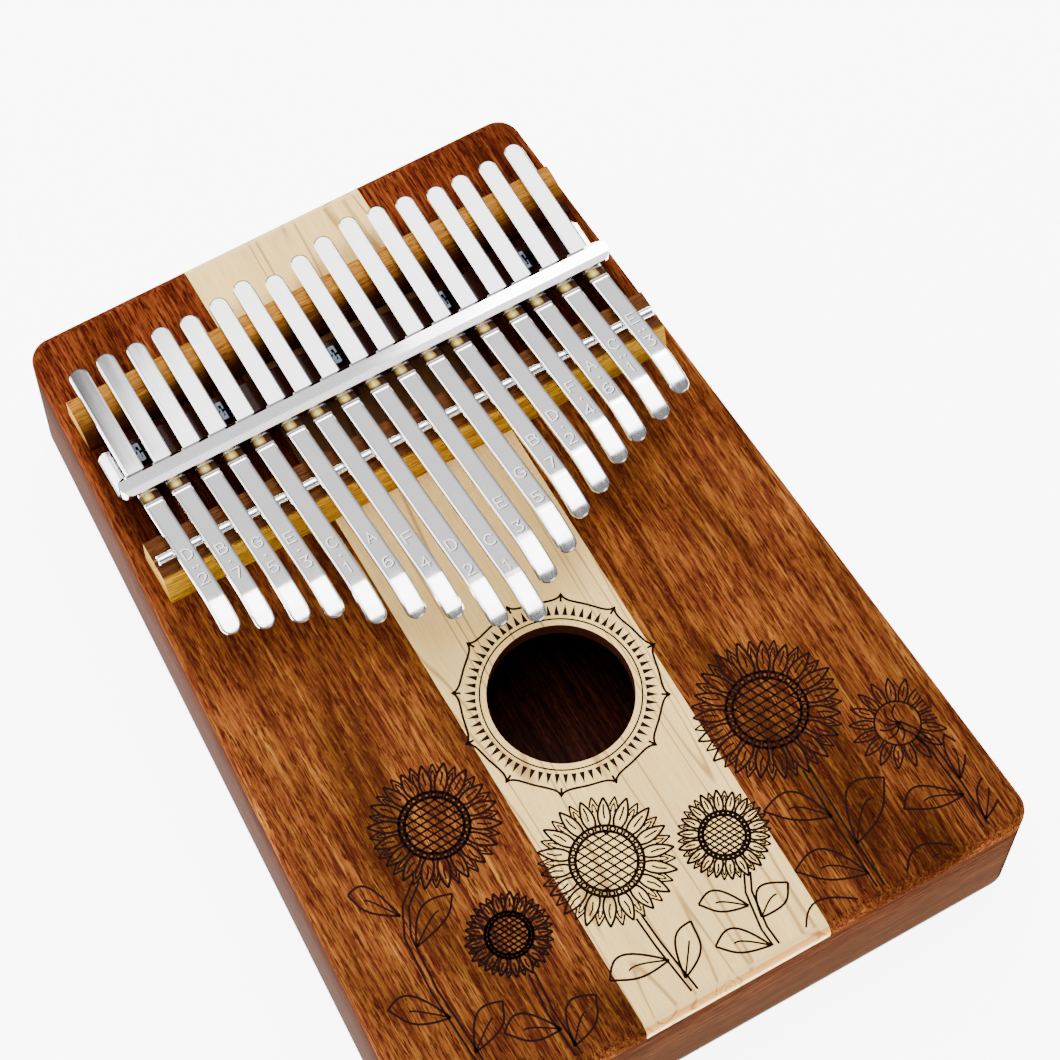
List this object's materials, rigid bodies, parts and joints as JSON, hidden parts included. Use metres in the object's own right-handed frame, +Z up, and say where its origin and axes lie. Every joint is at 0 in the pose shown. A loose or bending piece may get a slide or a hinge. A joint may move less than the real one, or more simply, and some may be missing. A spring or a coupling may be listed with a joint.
{
  "type": "mbira thumb piano",
  "caption": "Mbira thumb piano: hollow tapered wooden body with a sound hole, wooden bridges, steel saddle rod and pressure bar, and sprung steel tines that are plucked at their tips.",
  "frame": {"origin": "middle of the back face", "axes": "+X to the player's right, +Y from the playing end to the tails of the tines, +Z up out of the top"},
  "size_m": [0.1318, 0.185, 0.0553],
  "materials": {
    "mahogany_top": "satin lacquer",
    "mahogany_rim": "gloss lacquer",
    "mahogany_back": "gloss lacquer",
    "maple": "satin lacquer",
    "bridge_wood": "oiled",
    "block_wood": "raw",
    "tine_steel": "polished",
    "rod_steel": "polished",
    "chrome_plate": "polished",
    "screw_steel": "polished"
  },
  "bodies": {
    "instrument": {"top_panel_left": "mahogany_top", "top_panel_centre": "maple", "top_panel_right": "mahogany_top", "rim_front": "mahogany_rim", "rim_right": "mahogany_rim", "rim_rear": "mahogany_rim", "rim_left": "mahogany_rim", "back_panel": "mahogany_back", "bridge_block": "block_wood", "rear_bridge": "bridge_wood", "front_bridge": "bridge_wood", "saddle_rod": "rod_steel", "base_plate": "chrome_plate", "pressure_bar": "chrome_plate", "base_plate_screws": "screw_steel", "bar_studs": "screw_steel", "tine_01_tail": "tine_steel", "tine_02_tail": "tine_steel", "tine_03_tail": "tine_steel", "tine_04_tail": "tine_steel", "tine_05_tail": "tine_steel", "tine_06_tail": "tine_steel", "tine_07_tail": "tine_steel", "tine_08_tail": "tine_steel", "tine_09_tail": "tine_steel", "tine_10_tail": "tine_steel", "tine_11_tail": "tine_steel", "tine_12_tail": "tine_steel", "tine_13_tail": "tine_steel", "tine_14_tail": "tine_steel", "tine_15_tail": "tine_steel", "tine_16_tail": "tine_steel", "tine_17_tail": "tine_steel"},
    "key_01": {"tine_01_key": "tine_steel"},
    "key_02": {"tine_02_key": "tine_steel"},
    "key_03": {"tine_03_key": "tine_steel"},
    "key_04": {"tine_04_key": "tine_steel"},
    "key_05": {"tine_05_key": "tine_steel"},
    "key_06": {"tine_06_key": "tine_steel"},
    "key_07": {"tine_07_key": "tine_steel"},
    "key_08": {"tine_08_key": "tine_steel"},
    "key_09": {"tine_09_key": "tine_steel"},
    "key_10": {"tine_10_key": "tine_steel"},
    "key_11": {"tine_11_key": "tine_steel"},
    "key_12": {"tine_12_key": "tine_steel"},
    "key_13": {"tine_13_key": "tine_steel"},
    "key_14": {"tine_14_key": "tine_steel"},
    "key_15": {"tine_15_key": "tine_steel"},
    "key_16": {"tine_16_key": "tine_steel"},
    "key_17": {"tine_17_key": "tine_steel"}
  },
  "joints": [
    {"name": "pluck_01", "type": "hinge", "parent": "instrument", "child": "key_01", "pos_m": [0, 0.0332, 0.04303], "axis": [1, 0, 0], "range_deg": [0, 3], "stiffness_Nm_per_rad": 9.11},
    {"name": "pluck_02", "type": "hinge", "parent": "instrument", "child": "key_02", "pos_m": [0, 0.0332, 0.04303], "axis": [1, 0, 0], "range_deg": [0, 3], "stiffness_Nm_per_rad": 8.2},
    {"name": "pluck_03", "type": "hinge", "parent": "instrument", "child": "key_03", "pos_m": [0, 0.0332, 0.04303], "axis": [1, 0, 0], "range_deg": [0, 3], "stiffness_Nm_per_rad": 7.45},
    {"name": "pluck_04", "type": "hinge", "parent": "instrument", "child": "key_04", "pos_m": [0, 0.0332, 0.04303], "axis": [1, 0, 0], "range_deg": [0, 3], "stiffness_Nm_per_rad": 6.83},
    {"name": "pluck_05", "type": "hinge", "parent": "instrument", "child": "key_05", "pos_m": [0, 0.0332, 0.04303], "axis": [1, 0, 0], "range_deg": [0, 3], "stiffness_Nm_per_rad": 5.77},
    {"name": "pluck_06", "type": "hinge", "parent": "instrument", "child": "key_06", "pos_m": [0, 0.0332, 0.04303], "axis": [1, 0, 0], "range_deg": [0, 3], "stiffness_Nm_per_rad": 5.32},
    {"name": "pluck_07", "type": "hinge", "parent": "instrument", "child": "key_07", "pos_m": [0, 0.0332, 0.04303], "axis": [1, 0, 0], "range_deg": [0, 3], "stiffness_Nm_per_rad": 4.82},
    {"name": "pluck_08", "type": "hinge", "parent": "instrument", "child": "key_08", "pos_m": [0, 0.0332, 0.04303], "axis": [1, 0, 0], "range_deg": [0, 3], "stiffness_Nm_per_rad": 4.23},
    {"name": "pluck_09", "type": "hinge", "parent": "instrument", "child": "key_09", "pos_m": [0, 0.0332, 0.04303], "axis": [1, 0, 0], "range_deg": [0, 3], "stiffness_Nm_per_rad": 3.98},
    {"name": "pluck_10", "type": "hinge", "parent": "instrument", "child": "key_10", "pos_m": [0, 0.0332, 0.04303], "axis": [1, 0, 0], "range_deg": [0, 3], "stiffness_Nm_per_rad": 4.56},
    {"name": "pluck_11", "type": "hinge", "parent": "instrument", "child": "key_11", "pos_m": [0, 0.0332, 0.04303], "axis": [1, 0, 0], "range_deg": [0, 3], "stiffness_Nm_per_rad": 5},
    {"name": "pluck_12", "type": "hinge", "parent": "instrument", "child": "key_12", "pos_m": [0, 0.0332, 0.04303], "axis": [1, 0, 0], "range_deg": [0, 3], "stiffness_Nm_per_rad": 5.77},
    {"name": "pluck_13", "type": "hinge", "parent": "instrument", "child": "key_13", "pos_m": [0, 0.0332, 0.04303], "axis": [1, 0, 0], "range_deg": [0, 3], "stiffness_Nm_per_rad": 6.31},
    {"name": "pluck_14", "type": "hinge", "parent": "instrument", "child": "key_14", "pos_m": [0, 0.0332, 0.04303], "axis": [1, 0, 0], "range_deg": [0, 3], "stiffness_Nm_per_rad": 7.19},
    {"name": "pluck_15", "type": "hinge", "parent": "instrument", "child": "key_15", "pos_m": [0, 0.0332, 0.04303], "axis": [1, 0, 0], "range_deg": [0, 3], "stiffness_Nm_per_rad": 7.88},
    {"name": "pluck_16", "type": "hinge", "parent": "instrument", "child": "key_16", "pos_m": [0, 0.0332, 0.04303], "axis": [1, 0, 0], "range_deg": [0, 3], "stiffness_Nm_per_rad": 8.54},
    {"name": "pluck_17", "type": "hinge", "parent": "instrument", "child": "key_17", "pos_m": [0, 0.0332, 0.04303], "axis": [1, 0, 0], "range_deg": [0, 3], "stiffness_Nm_per_rad": 10}
  ]
}
